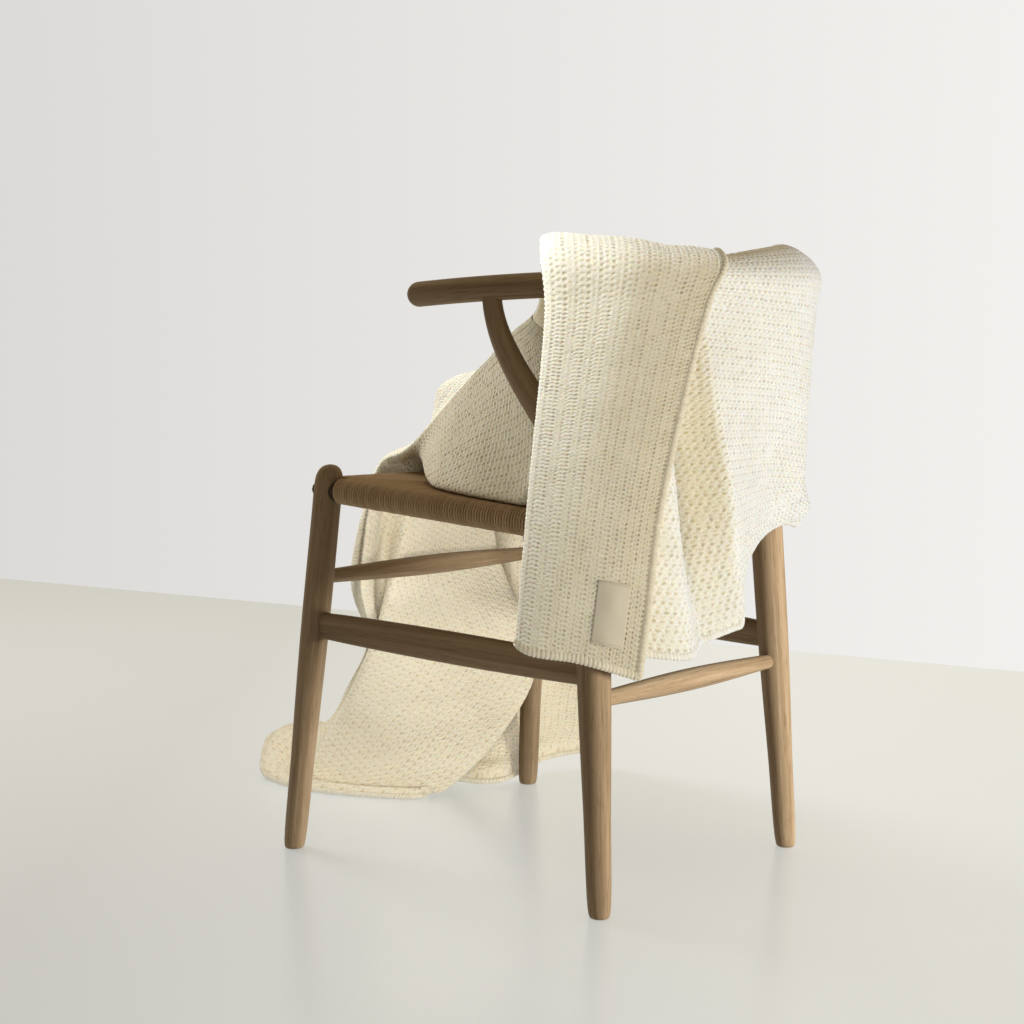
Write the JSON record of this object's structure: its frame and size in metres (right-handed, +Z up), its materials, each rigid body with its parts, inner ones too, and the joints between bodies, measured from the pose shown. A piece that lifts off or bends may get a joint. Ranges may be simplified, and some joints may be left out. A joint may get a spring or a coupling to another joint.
{
  "type": "knitted blanket draped over a wooden armchair",
  "caption": "Ivory knitted blanket thrown over a plain wooden armchair with a bent back rail and a corded seat: it hangs behind the back, rises in a fold and trails to the floor in front.",
  "frame": {"origin": "on the floor, under the middle of the whole object's box", "axes": "+Z up, -Y the way the chair faces, +X the sitter's left"},
  "size_m": [0.6474, 0.9058, 0.7545],
  "materials": {
    "wood": "oiled, satin, with a fine straight grain",
    "cord": "twisted paper cord, matt",
    "knit": "soft knit with small raised stitches, matt",
    "tape": "plain woven tape, matt"
  },
  "bodies": {
    "root": {"front_leg_left": "wood", "front_leg_right": "wood", "rear_post_left": "wood", "rear_post_right": "wood", "side_stretcher_left": "wood", "side_stretcher_right": "wood", "back_rail": "wood", "front_stretcher": "wood", "rear_stretcher": "wood", "seat": "cord", "blanket": "knit", "label": "tape"}
  },
  "joints": []
}
